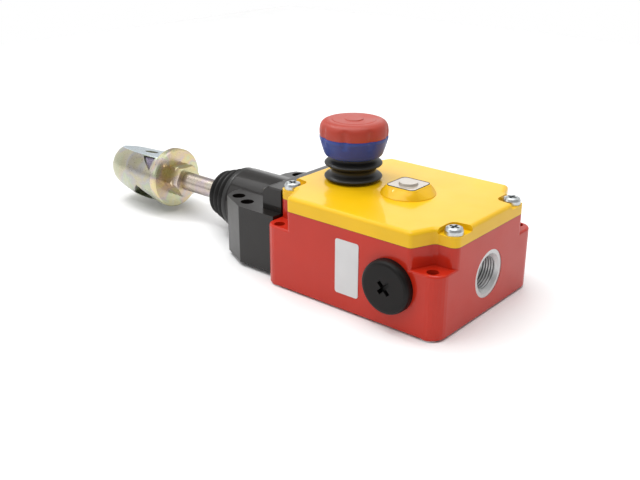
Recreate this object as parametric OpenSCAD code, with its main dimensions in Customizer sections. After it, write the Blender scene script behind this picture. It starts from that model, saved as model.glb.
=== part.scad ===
// Rope pull emergency switch: die-cast housing and cover, rope head with a sprung
// pull rod, rope clamp, stop button on the cover, position window, contact blocks.
// Frame: Z up, mounting face at z = 0, origin at the centre of the four mounting
// holes, rope side towards -X, end cable entry towards +X. Millimetres.

/* [Housing] */
// Length of the housing along the pull direction
housing_l = 112; // [108:1:120]
// Width of the housing
housing_w = 92; // [88:1:100]
// Height of the mounting lugs at the corners
lug_h = 34.5; // [30:0.5:38]
// Height of the joint between housing and cover
seam_h = 45.4; // [44:0.2:48]
// Wall thickness of the housing and the cover
wall = 3.6; // [3:0.1:4.2]
// Thickness of the housing floor
floor_t = 4; // [3:0.5:5]
// Corner radius of the mounting lugs
lug_r = 7.5; // [5:0.5:9]
// Height of the machined pads under the lugs
pad_h = 0.4; // [0.2:0.1:0.8]
// Width of the corner notches along the housing
notch_l = 13; // [11:0.5:15]
// Depth of the corner notches across the housing
notch_w = 13; // [11:0.5:15]
// Distance of the mounting holes from the ends of the housing
hole_end_gap = 7.2; // [6.5:0.1:8]
// Distance of the mounting holes from the sides of the housing
hole_side_gap = 5; // [4.5:0.25:6]
// Diameter of the mounting holes
hole_d = 6; // [5:0.1:6.6]

/* [Cover] */
// Height of the cover above the joint
cover_h = 8.1; // [7.2:0.1:9.6]
// Thickness of the cover's flat top
cover_t = 3; // [2.5:0.1:3.5]
// Height above the joint of the recessed pads that carry the cover screws
screw_pad_h = 5.2; // [4.6:0.1:5.6]
// Rounding of the cover's upper edge
cover_edge_r = 2; // [1:0.25:2.5]
// Distance of the cover screws from the ends of the housing
screw_end_gap = 5; // [4.8:0.1:6]
// Distance of the cover screws from the sides of the housing
screw_side_gap = 18.2; // [18:0.1:19]
// Diameter of the cover screw heads
cover_head_d = 9.1; // [8:0.1:9.5]
// Height of the cover screw heads
cover_head_h = 3.6; // [2.6:0.1:4]

/* [Cable entries] */
// Height of the end cable entry
end_entry_z = 21.8; // [20:0.2:24]
// Height of the side cable entries
side_entry_z = 23; // [20:0.2:25]
// Distance of the side cable entries from the end of the housing
side_entry_gap = 28.5; // [27:0.5:30]
// Inner diameter of the M20 x 1.5 entry thread
entry_d = 18.4; // [16:0.1:19]
// Diameter of the machined ring round an entry
entry_face_d = 25.6; // [24:0.2:27]
// Depth of the threaded boss behind an entry
entry_depth = 10; // [8:0.5:12]
// Diameter of the blanking plug flange
plug_d = 28.2; // [27:0.2:30]
// Thickness of the blanking plug flange
plug_t = 4.8; // [4:0.1:6]

/* [Rope head] */
// Height of the pull axis above the mounting face
axis_z = 22.5; // [22:0.25:24]
// Width of the head's lower body
head_w = 77.2; // [74:0.4:80]
// Length of the head's lower body
head_l = 47; // [44:0.5:50]
// Underside of the head's lower body
head_z0 = 2; // [1:0.25:3]
// Upper side of the head's lower body
head_z1 = 36; // [34:0.25:37]
// Width of the flange block against the housing
flange_w = 64; // [60:1:66]
// Thickness of the flange block
flange_t = 14.5; // [12:0.5:16]
// Height of the flange block above the joint
flange_h = 4.2; // [2.6:0.2:4.8]
// Diameter of the spring barrel
barrel_d = 39.4; // [38:0.2:41]
// Length of the barrel in front of the lower body
barrel_l = 11; // [9:0.5:13]
// Diameter of the two holes on each side of the head
head_hole_d = 7.6; // [6:0.1:8]
// Diameter of the spring chamber in the barrel
chamber_d = 31; // [30:0.2:32]
// Thickness of the barrel's front wall
barrel_front_t = 10; // [8:0.5:12]

/* [Pull rod] */
// Diameter of the pull rod
rod_d = 12; // [11:0.1:12.4]
// Travel of the pull rod
pull_travel = 16; // [10:0.5:16]
// Thread length between bellows and nuts left bare
rod_bare_l = 30; // [26:0.5:36]
// Number of folds in the rod bellows
rod_folds = 3; // [2:1:4]
// Wire thickness of the return spring
return_wire = 2.6; // [2:0.1:3]
// Turns of the return spring
return_turns = 6.5; // [5:0.5:7]
// Length of the cam slide
cam_l = 46; // [44:0.5:48]
// Half width of the cam slide at the cam plungers
cam_half_w = 8.5; // [8:0.1:9]
// Rise of the cam ramp for each millimetre of pull
cam_slope = 0.125; // [0.1:0.005:0.13]

/* [Rope clamp] */
// Diameter of the clamp flange
clamp_flange_d = 38.8; // [38:0.2:42]
// Thickness of the clamp flange
clamp_flange_t = 5.7; // [5:0.1:7]
// Diameter of the clamp body
clamp_d = 37.2; // [36:0.2:37.6]
// Length of the clamp body
clamp_l = 48.6; // [46:0.2:52]
// Height of the milled flat above the pull axis
clamp_flat = 12.2; // [12:0.1:13]
// Turn of the clamp on its thread, away from upright
clamp_turn = 13.5; // [0:0.5:20]
// Diameter of the rope hole in the clamp nose
rope_hole_d = 7; // [5:0.1:8]
// Diameter of the hole in the milled flat
flat_hole_d = 9; // [7:0.1:9.4]
// Diameter of the conical chamber in the clamp
clamp_bore_d = 21; // [20:0.5:22]
// Width across flats of the lock nuts
nut_af = 19; // [18:0.5:20]
// Thickness of the lock nut
lock_nut_t = 6; // [5:0.25:7]
// Thickness of the jam nut
jam_nut_t = 5; // [4:0.25:6]

/* [Stop button] */
// Distance of the stop button from the head end of the housing
knob_end_gap = 24.7; // [24:0.1:26]
// Largest diameter of the button
knob_d = 37.3; // [36:0.1:39]
// Gap between the cover and the button's blue ring
ring_gap = 13.8; // [13.5:0.1:15.5]
// Height of the blue ring
ring_h = 11.2; // [10:0.1:12]
// Height of the red cap
cap_h = 8.5; // [7.5:0.1:10]
// Travel of the button
knob_travel = 5; // [3:0.25:5]
// Number of grip flutes
flutes = 8; // [6:1:12]
// Diameter of the button stem
stem_d = 8; // [7:0.1:8.2]
// Wire thickness of the button spring
knob_wire = 1.2; // [1:0.1:1.4]
// Largest diameter of the button bellows
knob_bellows_d = 31.8; // [31:0.1:33]

/* [Position window] */
// Distance between the button and the window
window_gap = 36.6; // [35.3:0.1:38.3]
// Diameter of the window boss at its foot
boss_d = 29.2; // [28:0.2:31]
// Width of the window boss at its top
boss_w = 19.2; // [18.8:0.1:20]
// Height of the window boss
boss_h = 4.7; // [4:0.1:5.4]
// Side of the square lens
lens_w = 17; // [16:0.2:17.2]

/* [Contacts] */
// Length of a contact block
block_l = 34; // [32:0.5:35]
// Inner face of the contact blocks, from the pull axis
block_y0 = 13.5; // [13.2:0.1:14]
// Width of a contact block
block_w = 23.5; // [22:0.5:24]
// Height of the lever pivot above the contact blocks
pivot_rise = 6.8; // [6.3:0.1:7.3]
// Depth of the lever pivot below the button bush
pivot_drop = 5.2; // [4.8:0.05:5.4]
// Swing of the trip lever when the button is pressed
lever_swing = 16.5; // [16:0.1:17]
// Diameter of the contact plungers
plunger_d = 5; // [4:0.1:5.2]

/* [Hidden] */

// Clearances: running fits, loose fits, and the air between curved faces
run_c = 0.05;
fit_c = 0.2;
air = 0.3;
// Steps of a round stretch of an outline, in degrees
arc_step = 15;
$fn = 72;

end_x = housing_l / 2;
side_y = housing_w / 2;
head_x1 = -end_x;
head_x0 = head_x1 - head_l;
barrel_x0 = head_x0 - barrel_l;
rod_r = rod_d / 2;
knob_r = knob_d / 2;
cover_top = seam_h + cover_h;
screw_pad_z = seam_h + screw_pad_h;
flange_z1 = seam_h + flange_h;
ring_z0 = cover_top + ring_gap;
cap_z0 = ring_z0 + ring_h;
cap_z1 = cap_z0 + cap_h;
side_entry_x = end_x - side_entry_gap;
knob_x = head_x1 + knob_end_gap;
window_x = knob_x + window_gap;
// Lower end of the button bush, lever pivot and upper side of the contact blocks
bush_depth = 10.5;
bush_z0 = cover_top - bush_depth;
pivot_z = bush_z0 - pivot_drop;
block_z1 = pivot_z - pivot_rise;

// ---- outline helpers ----

// Corner b between a and c with radius r: points of the rounding arc
function unit(v) = v / norm(v);
function arc_points(a, b, c, r) =
    let (
        u = unit(a - b),
        v = unit(c - b),
        half = acos(max(-1, min(1, u * v))) / 2,
        centre = b + unit(u + v) * r / sin(half),
        start = b + u * r / tan(half) - centre,
        stop = b + v * r / tan(half) - centre,
        a0 = atan2(start[1], start[0]),
        turn = atan2(stop[1], stop[0]) - a0,
        sweep = turn > 180 ? turn - 360 : turn < -180 ? turn + 360 : turn,
        n = max(1, ceil(abs(sweep) / arc_step - 0.01))
    )
    [for (i = [0 : n]) centre + r * [cos(a0 + sweep * i / n), sin(a0 + sweep * i / n)]];

// Closed outline from [x, y, radius] corners
function rounded(corners) =
    let (n = len(corners), p = [for (c = corners) [c[0], c[1]]])
    [for (i = [0 : n - 1], q = arc_points(p[(i + n - 1) % n], p[i], p[(i + 1) % n], corners[i][2])) q];

// Corners of one quarter, repeated in the other three, anticlockwise
function flip(quarter, sx, sy) = [for (c = quarter) [c[0] * sx, c[1] * sy, c[2]]];
function turned_back(list) = [for (i = [len(list) - 1 : -1 : 0]) list[i]];
function four_way(quarter) = concat(
    quarter, turned_back(flip(quarter, -1, 1)), flip(quarter, -1, -1), turned_back(flip(quarter, 1, -1)));

// Outline of the upper housing and the cover, moved inwards by i
notch_slant = 4.5;
function upper_outline(i) = rounded(four_way([
    [end_x - i, side_y - notch_w - i, max(0.4, 4 - i)],
    [end_x - notch_l + notch_slant / 3 - i, side_y - notch_w - i, 3 + i],
    [end_x - notch_l - notch_slant + 0.5 - i, side_y - i, max(0.4, 2.5 - i)]]));

// Outline of the lower housing with its lugs, moved inwards by i
function lower_outline(i) = rounded(four_way([[end_x - i, side_y - i, lug_r - i]]));

// Block with shaped edges: a closed band through outlines of equal point count, round a plain core.
// Outlines run from the bottom up; the last two close the band inside the core.
module edged_block(outlines, heights) {
    n = len(outlines[0]);
    m = len(outlines);
    z0 = heights[0];
    points = [for (k = [0 : m - 1], q = outlines[k]) [q[0], q[1], heights[k]]];
    faces = [for (k = [0 : m - 1], i = [0 : n - 1])
        let (a = k * n + i, b = k * n + (i + 1) % n,
            c = (k + 1) % m * n + i, d = (k + 1) % m * n + (i + 1) % n)
        each [[a, c, d], [a, d, b]]];
    polyhedron(points = points, faces = faces, convexity = 10);
    translate([0, 0, z0]) linear_extrude(heights[m - 2] - z0) polygon(outlines[m - 3]);
}

// Shapes turned about the pull axis, from [x, radius] points
module on_axis() translate([0, 0, axis_z]) rotate([0, 90, 0]) children();
module axis_turn(profile) on_axis() rotate_extrude() polygon([for (p = profile) [p[1], p[0]]]);
module axis_bar(x0, x1, d) on_axis() translate([0, 0, x0]) cylinder(d = d, h = x1 - x0);
module axis_ring(x0, x1, d_out, d_in) difference() {
    axis_bar(x0, x1, d_out);
    axis_bar(x0 - 1, x1 + 1, d_in);
}

// Shapes turned about the button's axis, from [radius, z] points
module on_knob() translate([knob_x, 0, 0]) children();
module knob_turn(profile) on_knob() rotate_extrude() polygon(profile);

// Hexagon nut on the pull axis with chamfered corners
module axis_nut(x0, x1, af, bore) {
    corner_r = af / sqrt(3);
    chamfer = (corner_r - af / 2) * 0.7;
    difference() {
        intersection() {
            on_axis() translate([0, 0, x0]) rotate([0, 0, 30]) cylinder(r = corner_r, h = x1 - x0, $fn = 6);
            axis_turn([[x0, 0], [x0, corner_r - chamfer], [x0 + chamfer, corner_r],
                [x1 - chamfer, corner_r], [x1, corner_r - chamfer], [x1, 0]]);
        }
        axis_bar(x0 - 1, x1 + 1, bore);
    }
}

// Screw standing on z = 0 with its head above and its shank below
module pan_screw(head, head_h, shank, length) {
    recess_w = head * 0.16;
    recess_h = head_h * 0.6;
    difference() {
        union() {
            rotate_extrude() polygon([[0, 0], [head / 2, 0], [head / 2, head_h * 0.55],
                [head / 2 * 0.88, head_h * 0.88], [head / 2 * 0.66, head_h], [0, head_h]]);
            translate([0, 0, -length]) cylinder(d = shank, h = length + 0.01);
        }
        for (a = [0, 90]) rotate([0, 0, a])
            translate([0, 0, head_h]) cube([head * 0.58, recess_w, 2 * recess_h], center = true);
    }
}

// Wire spring along Z from z = 0 to z = length
module coil(mean_r, wire, length, turns) {
    sides = 8;
    per_turn = 16;
    rings = ceil(turns * per_turn);
    rise = length - wire;
    points = [for (k = [0 : rings], j = [0 : sides - 1])
        let (
            a = 360 * turns * k / rings,
            b = 360 * j / sides,
            r = mean_r + wire / 2 * cos(b)
        )
        [r * cos(a), r * sin(a), wire / 2 + rise * k / rings + wire / 2 * sin(b)]];
    walls = [for (k = [0 : rings - 1], j = [0 : sides - 1])
        let (a = k * sides + j, b = k * sides + (j + 1) % sides)
        each [[a, b, b + sides], [a, b + sides, a + sides]]];
    ends = [[for (j = [sides - 1 : -1 : 0]) j], [for (j = [0 : sides - 1]) rings * sides + j]];
    polyhedron(points = points, faces = concat(walls, ends), convexity = 10);
}

// ---- housing and cover ----

lug_x = end_x - hole_end_gap;
lug_y = side_y - hole_side_gap;
screw_x = end_x - screw_end_gap;
screw_y = side_y - screw_side_gap;
screw_d = 5;
screw_l = 15;
pillar_d = 9.6;
entry_mouth_d = 21.4;
entry_face_t = 0.3;
entry_wall = 4.6;
bush_d = 18;
bush_flange_d = 23;
bush_flange_t = 2;
head_screw_y = 17.5;
head_screw_z = 14.5;
head_screw_d = 4;
head_screw_head_d = 7;
head_screw_head_h = 4;
head_key_room = 3;
inner_x = end_x - wall;
rail_w = 6;
rail_z = 14.8;
rail_x0 = -inner_x + bush_flange_t + 0.4;
cam_x0 = knob_x - 0.7;
rail_x1 = cam_x0 + cam_l + 4;
block_z0 = floor_t + 4;
block_x0 = knob_x - 4.7;
block_pad_d = 7;
block_thread_l = 6;
block_screw_d = 3;
block_screw_y = block_y0 + 6.5;
earth_at = [end_x - 18, 24 - side_y];
earth_thread_l = 7;
earth_pillar_d = 9;
earth_z = 12;
earth_d = 4;

module at_corners(x, y) for (sx = [-1, 1], sy = [-1, 1]) translate([sx * x, sy * y, 0]) children();
module at_end_entry() translate([end_x, 0, end_entry_z]) rotate([0, 90, 0]) children();
module at_side_entries() for (s = [-1, 1])
    translate([side_entry_x, s * side_y, side_entry_z]) rotate([-90 * s, 0, 0]) children();
module at_head_screws() for (sy = [-1, 1], sz = [-1, 1])
    translate([-inner_x, sy * head_screw_y, axis_z + sz * head_screw_z]) rotate([0, -90, 0]) children();
module at_block_screws() for (s = [-1, 1], x = [block_x0 + 3, block_x0 + block_l - 3])
    translate([x, s * block_screw_y, 0]) children();

// Threaded hole, its mouth chamfer and the machined ring, bored down from z = 0
module entry_bore() {
    chamfer = (entry_mouth_d - entry_d) / 2;
    translate([0, 0, -entry_depth - 1]) cylinder(d = entry_d, h = entry_depth + 2);
    translate([0, 0, -entry_face_t - chamfer]) cylinder(d1 = entry_d, d2 = entry_mouth_d, h = chamfer);
    translate([0, 0, -entry_face_t]) cylinder(d = entry_face_d, h = entry_face_t + 1);
}

module entry_boss() translate([0, 0, -entry_depth]) cylinder(d = entry_d + 2 * entry_wall, h = entry_depth);

module housing() {
    edge = 1;
    foot = 0.6;
    core = 1;
    pad_d = 9.6;
    color("firebrick") difference() {
        union() {
            edged_block([for (i = [foot, 0, 0, edge * 0.3, edge, edge + core, edge + core]) lower_outline(i)],
                [pad_h, pad_h + foot, lug_h - edge, lug_h - edge * 0.3, lug_h, lug_h, pad_h]);
            translate([0, 0, lug_h - 2 * edge]) linear_extrude(seam_h - lug_h + 2 * edge)
                polygon(upper_outline(0));
            at_corners(lug_x, lug_y) cylinder(d = pad_d, h = pad_h + edge);
        }
        difference() {
            translate([0, 0, floor_t]) linear_extrude(seam_h) polygon(upper_outline(wall));
            at_corners(screw_x, screw_y) cylinder(d = pillar_d, h = seam_h);
            at_end_entry() entry_boss();
            at_side_entries() entry_boss();
            at_block_screws() cylinder(d = block_pad_d, h = block_z0);
            translate([rail_x0, -rail_w / 2, 0]) cube([rail_x1 - rail_x0, rail_w, rail_z]);
            translate(earth_at) cylinder(d = earth_pillar_d, h = earth_z);
        }
        at_head_screws() translate([0, 0, -head_screw_head_h - head_key_room])
            cylinder(d = head_screw_head_d + 2 * fit_c, h = head_screw_head_h + head_key_room);
        at_corners(lug_x, lug_y) translate([0, 0, -1]) cylinder(d = hole_d, h = lug_h + 2);
        at_corners(screw_x, screw_y) translate([0, 0, screw_pad_z - screw_l - 1])
            cylinder(d = screw_d + 2 * run_c, h = screw_l);
        at_end_entry() entry_bore();
        at_side_entries() entry_bore();
        axis_bar(-end_x - 1, -inner_x + 1, bush_d + 2 * run_c);
        at_head_screws() translate([0, 0, -1]) cylinder(d = head_screw_d + 2 * fit_c, h = wall + 2);
        at_block_screws() translate([0, 0, block_z0 - block_thread_l])
            cylinder(d = block_screw_d + 2 * run_c, h = block_thread_l + 1);
        translate([earth_at[0], earth_at[1], earth_z - earth_thread_l])
            cylinder(d = earth_d + 2 * run_c, h = earth_thread_l + 1);
    }
}

recess_x = screw_x - 5.6;
recess_y = screw_y - 7;
recess_r = 4;
recess_flare = 2;
seal_inset = 0.8;
seal_w = 1.2;
seal_h = 1.4;
knob_bush_d = 18;
lens_t = 1.2;
lens_seal_t = 0.6;
lens_lip = 2;
lens_corner_r = 2.5;
boss_z1 = cover_top + boss_h;
lens_z0 = boss_z1 - lens_t + 0.2;

module cover() {
    steps = 5;
    turn = [for (k = [0 : steps]) 90 * k / steps];
    inner = cover_edge_r + 1;
    band_z0 = cover_top - cover_edge_r;
    insets = concat([for (a = turn) cover_edge_r * (1 - cos(a))], [inner, inner]);
    heights = concat([for (a = turn) cover_top - cover_edge_r * (1 - sin(a))], [cover_top, band_z0]);
    color("gold") difference() {
        union() {
            translate([0, 0, seam_h]) linear_extrude(band_z0 - seam_h) polygon(upper_outline(0));
            edged_block([for (i = insets) upper_outline(i)], heights);
            translate([window_x, 0, cover_top - 1]) window_boss();
        }
        for (sx = [-1, 1], sy = [-1, 1]) scale([sx, sy, 1]) translate([0, 0, screw_pad_z])
            linear_extrude(cover_top) polygon(rounded([[recess_x, recess_y, recess_r],
                [end_x + 3, recess_y - recess_flare, 0.1], [end_x + 3, side_y, 0.1],
                [recess_x, side_y, 0.1]]));
        translate([0, 0, seam_h - 1]) linear_extrude(cover_top - cover_t - seam_h + 1) intersection() {
            polygon(upper_outline(wall));
            union() {
                square([2 * (recess_x - wall), housing_w], center = true);
                square([housing_l, 2 * (recess_y - recess_flare - wall)], center = true);
            }
        }
        translate([0, 0, seam_h - 1]) linear_extrude(seal_h + 1) difference() {
            polygon(upper_outline(seal_inset));
            polygon(upper_outline(seal_inset + seal_w));
        }
        at_corners(screw_x, screw_y) translate([0, 0, seam_h - 1])
            cylinder(d = screw_d + 2 * fit_c, h = cover_top);
        on_knob() translate([0, 0, seam_h]) cylinder(d = knob_bush_d + 2 * run_c, h = cover_top);
        translate([window_x, 0, 0]) {
            opening = lens_w - 2 * lens_lip;
            pocket = lens_w + fit_c;
            translate([-opening / 2, -opening / 2, seam_h]) cube([opening, opening, cover_top]);
            translate([0, 0, lens_z0 - lens_seal_t]) square_plate(pocket, cover_top, lens_corner_r);
        }
    }
}

// Round at its foot, square with rounded corners round the lens
module window_boss() {
    foot_h = 1;
    edge = 0.01;
    hull() {
        cylinder(d = boss_d, h = foot_h + 0.4);
        translate([0, 0, foot_h + boss_h - 0.5]) square_plate(boss_w, edge, lens_corner_r + 1.4);
        translate([0, 0, foot_h + boss_h - edge]) square_plate(boss_w - 0.8, edge, lens_corner_r + 1);
    }
}

module cover_gasket() color("#222222") translate([0, 0, seam_h]) linear_extrude(seal_h - run_c) difference() {
    polygon(upper_outline(seal_inset + run_c));
    polygon(upper_outline(seal_inset + seal_w - run_c));
}

module cover_screws() color("silver") at_corners(screw_x, screw_y) translate([0, 0, screw_pad_z])
    pan_screw(cover_head_d, cover_head_h, screw_d, screw_l);

// Square plate with rounded corners standing on z
module square_plate(w, t, r) linear_extrude(t) polygon(rounded(four_way([[w / 2, w / 2, r]])));

module window_lens() {
    disc_d = 10.4;
    disc_h = 1.2;
    color("lightcyan", 0.5) translate([window_x, 0, lens_z0]) {
        square_plate(lens_w, lens_t, lens_corner_r);
        translate([0, 0, lens_t]) cylinder(d1 = disc_d, d2 = disc_d - 0.8, h = disc_h);
    }
}

module lens_seal() color("#222222") translate([window_x, 0, lens_z0 - lens_seal_t]) difference() {
    square_plate(lens_w, lens_seal_t, lens_corner_r);
    translate([0, 0, -1]) square_plate(lens_w - 2 * lens_lip, lens_seal_t + 2, 1);
}

seal_groove = 0.7;
plug_seal_t = entry_face_t + seal_groove;
plug_seal_d = entry_face_d - 1;

module blanking_plugs() {
    rim = 2.2;
    slot_w = 2.2;
    slot_l = 8.4;
    slot_depth = 2.6;
    stub_l = 8;
    color("#26262a") at_side_entries() difference() {
        union() {
            rotate_extrude() polygon([[0, 0], [plug_d / 2, 0], [plug_d / 2, plug_t - rim],
                [plug_d / 2 - rim * 0.13, plug_t - rim * 0.5], [plug_d / 2 - rim * 0.5, plug_t - rim * 0.13],
                [plug_d / 2 - rim, plug_t], [0, plug_t]]);
            translate([0, 0, -stub_l]) cylinder(d = entry_d - 2 * run_c, h = stub_l);
        }
        translate([0, 0, -0.01]) difference() {
            cylinder(d = plug_seal_d + 2 * run_c, h = seal_groove);
            translate([0, 0, -1]) cylinder(d = entry_d - 2 * run_c, h = seal_groove + 2);
        }
        translate([0, 0, -stub_l - 1]) cylinder(d = entry_d - 5, h = stub_l);
        for (a = [45, 135]) rotate([0, 0, a])
            translate([0, 0, plug_t]) cube([slot_l, slot_w, 2 * slot_depth], center = true);
    }
}

module plug_seals() color("#151515") at_side_entries() translate([0, 0, -entry_face_t]) difference() {
    cylinder(d = plug_seal_d, h = plug_seal_t - run_c);
    translate([0, 0, -1]) cylinder(d = entry_d, h = plug_seal_t + 2);
}

module label_plate() {
    label_w = 14.8;
    label_h = 29.6;
    label_t = 0.25;
    label_gap = 26.3;
    label_x = side_entry_x - label_gap;
    label_z = 24.4;
    color("white") translate([label_x, -side_y, label_z]) rotate([90, 0, 0])
        linear_extrude(label_t) polygon(rounded(four_way([[label_w / 2, label_h / 2, 1.4]])));
}

// ---- rope head ----

spigot_l = 4;
spigot_d = 30;
spigot_x0 = barrel_x0 - spigot_l;
chamber_x0 = barrel_x0 + barrel_front_t;
guide_d = 16;
head_seal_d = 40;
head_seal_w = 1.8;
head_seal_h = 1.6;
hole_1 = [head_x0 + 8.2, head_w / 2 - 12.7];
hole_2 = [head_x0 + 19.1, head_w / 2 - 8.5];
head_thread_l = 12;

module head_body() {
    nose_x = 20.5;
    edge = 0.8;
    color("#2b2b2d") difference() {
        union() {
            translate([0, 0, head_z0]) linear_extrude(head_z1 - head_z0) polygon(rounded([
                [head_x1, -head_w / 2, 0.1], [head_x1, head_w / 2, 0.1],
                [head_x0 + nose_x, head_w / 2, 2], [head_x0 + 2.5, head_w / 2 - 8.6, 1.5],
                [head_x0, head_w / 2 - 15.6, 1.5], [head_x0, -head_w / 2 + 15.6, 1.5],
                [head_x0 + 2.5, -head_w / 2 + 8.6, 1.5], [head_x0 + nose_x, -head_w / 2, 2]]));
            hull() {
                flange_block(flange_w, edge);
                flange_block(flange_w - 2 * edge, 0);
            }
            axis_turn([[barrel_x0, 0], [barrel_x0, barrel_d / 2 - edge], [barrel_x0 + edge, barrel_d / 2],
                [head_x1, barrel_d / 2], [head_x1, 0]]);
            axis_bar(spigot_x0, head_x1, spigot_d);
        }
        axis_bar(chamber_x0, head_x1 + 1, chamber_d);
        axis_bar(spigot_x0 - 1, head_x1, guide_d + 2 * run_c);
        for (s = [-1, 1], p = [hole_1, hole_2]) translate([p[0], s * p[1], head_z0 - 1])
            cylinder(d = head_hole_d, h = head_z1 - head_z0 + 2);
        for (sy = [-1, 1], sz = [-1, 1]) translate([head_x1, sy * head_screw_y, axis_z + sz * head_screw_z])
            rotate([0, -90, 0]) translate([0, 0, -1])
                cylinder(d = head_screw_d + 2 * run_c, h = head_thread_l + 2);
        axis_ring(head_x1 - head_seal_h, head_x1 + 1, head_seal_d, head_seal_d - 2 * head_seal_w);
    }
}

// Slab of the block against the housing, w wide, its outer faces moved inwards by i
module flange_block(w, i) translate([0, w / 2, 0]) rotate([90, 0, 0]) linear_extrude(w) polygon(rounded([
    [head_x1, head_z0 + 2, 0.1], [head_x1, flange_z1 - i, 0.1],
    [head_x1 - flange_t + i, flange_z1 - i, 5.5 - i], [head_x1 - flange_t + i, head_z0 + 2, 0.1]]));

module head_seal() color("#151515")
    axis_ring(head_x1 - head_seal_h + run_c, head_x1, head_seal_d - 2 * run_c,
        head_seal_d - 2 * head_seal_w + 2 * run_c);

module head_screws() color("silver") at_head_screws() difference() {
    key_d = 3.4;
    key_depth = 2;
    union() {
        translate([0, 0, -head_screw_head_h]) cylinder(d = head_screw_head_d, h = head_screw_head_h);
        cylinder(d = head_screw_d, h = wall + head_thread_l);
    }
    translate([0, 0, -head_screw_head_h - 1]) cylinder(d = key_d, h = key_depth + 1, $fn = 6);
}

module guide_bush() color("peru") axis_ring(spigot_x0, chamber_x0, guide_d, rod_d + 2 * run_c);

module inner_bush() color("peru") difference() {
    union() {
        axis_bar(-end_x - 3, -inner_x, bush_d);
        axis_bar(-inner_x, -inner_x + bush_flange_t, bush_flange_d);
    }
    axis_bar(-end_x - 4, -inner_x + bush_flange_t + 1, rod_d + 2 * run_c);
}

// Rod bellows: a cuff on the spigot, folds that taper towards the rod, a neck on the rod
fold_pitch = 5.3;
cuff_l = 3;
cuff_r = 19.2;
fold_taper = 1.63;
fold_depth = 2.6;
rubber_t = 1.3;
neck_l = 3.4;
neck_r = rod_r + run_c + 2.2;
folds_x0 = barrel_x0 - cuff_l;
folds_x1 = folds_x0 - fold_pitch * (rod_folds + 0.3);
neck_x0 = folds_x1 - neck_l;

function fold_r(s) = cuff_r - fold_taper * s - fold_depth * pow((1 - cos(360 * s)) / 2, 0.8);

module rod_bellows() {
    steps = 10 * (rod_folds + 0.3);
    outer = [for (k = [0 : steps]) let (s = k / 10) [folds_x0 - fold_pitch * s, fold_r(s)]];
    last = outer[len(outer) - 1];
    inner = [for (k = [steps : -1 : 4]) let (s = k / 10)
        [folds_x0 - fold_pitch * s + 0.3, fold_r(s) - rubber_t]];
    color("#1c1c1e") axis_turn(concat(
        [[barrel_x0, spigot_d / 2 + run_c], [barrel_x0, cuff_r - 0.4], [barrel_x0 - 0.4, cuff_r]],
        outer,
        [[last[0] - 0.9, last[1] - 1.6], [last[0] - 1.4, neck_r + 1.5], [last[0] - 1.8, neck_r],
            [neck_x0, neck_r], [neck_x0, rod_r + run_c], [last[0] - 0.2, rod_r + run_c],
            [last[0] + 0.4, neck_r + 1.2]],
        inner,
        [[spigot_x0 - air, fold_r(0.3) - rubber_t], [spigot_x0 - air, spigot_d / 2 + run_c]]));
}

// ---- pull rod and what rides on it ----

nuts_x1 = neck_x0 - rod_bare_l;
jam_x0 = nuts_x1 - jam_nut_t;
lock_x0 = jam_x0 - lock_nut_t;
flange_x0 = lock_x0 - clamp_flange_t;
clamp_x0 = flange_x0 - clamp_l;
rod_x0 = flange_x0 - 12;
spindle_d = 8;
cam_x1 = cam_x0 + cam_l;
cam_nut_t = 6.5;
plate_x1 = -end_x - 6.2;
plate_t = 2;
clip_t = 1.1;
clip_d = 16.8;
clip_groove_d = rod_d - 1.4;

module pull_rod() {
    chamfer = 0.8;
    groove_x = plate_x1;
    color("#b9ad7a") difference() {
        axis_turn([[rod_x0, 0], [rod_x0, rod_r - chamfer], [rod_x0 + chamfer, rod_r], [cam_x0, rod_r],
            [cam_x0, spindle_d / 2], [cam_x1 + cam_nut_t + 2 - chamfer, spindle_d / 2],
            [cam_x1 + cam_nut_t + 2, spindle_d / 2 - chamfer], [cam_x1 + cam_nut_t + 2, 0]]);
        axis_ring(groove_x, groove_x + clip_t + 0.1, rod_d + 1, clip_groove_d);
    }
}

module return_spring() {
    mean_r = chamber_d / 2 - return_wire / 2 - 1.4;
    color("silver") translate([chamber_x0, 0, axis_z]) rotate([0, 90, 0])
        coil(mean_r, return_wire, plate_x1 - plate_t - chamber_x0, return_turns);
}

module spring_plate() color("silver")
    axis_ring(plate_x1 - plate_t, plate_x1, chamber_d - 1.6, rod_d + 2 * run_c);

module spring_clip() color("dimgray")
    axis_ring(plate_x1, plate_x1 + clip_t, clip_d, clip_groove_d + 2 * run_c);

cam_plunger_x = knob_x + 12.3;
cam_h = 16;
cam_z0 = axis_z - 9;
function cam_y(x) = cam_half_w + cam_slope * (x - cam_plunger_x);

module cam_slide() color("ivory") difference() {
    translate([0, 0, cam_z0]) linear_extrude(cam_h) polygon([
        [cam_x0, -cam_y(cam_x0)], [cam_x1, -cam_y(cam_x1)],
        [cam_x1, cam_y(cam_x1)], [cam_x0, cam_y(cam_x0)]]);
    axis_bar(cam_x0 - 1, cam_x1 + 1, spindle_d + 2 * run_c);
    translate([cam_x0 - 1, -rail_w / 2 - fit_c, cam_z0 - 1])
        cube([cam_l + 2, rail_w + 2 * fit_c, rail_z + air - cam_z0 + 1]);
}

module cam_nut() color("silver") axis_nut(cam_x1, cam_x1 + cam_nut_t, 13, spindle_d + 2 * run_c);

flag_z = bush_z0;
flag_t = 1.4;
flag_w = 14;
flag_reach = 9.3;
flag_x0 = window_x - flag_reach;
flag_l = 34;
post_l = 4;
post_x = cam_x1 - post_l;

module indicator_flag() color("limegreen") {
    translate([flag_x0, -flag_w / 2, flag_z]) cube([flag_l, flag_w, flag_t]);
    translate([post_x, -flag_w / 4, cam_z0 + cam_h]) cube([post_l, flag_w / 2, flag_z - cam_z0 - cam_h]);
}

module jam_nut() color("#c9bd83") axis_nut(jam_x0, nuts_x1, nut_af, rod_d + 2 * run_c);

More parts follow.
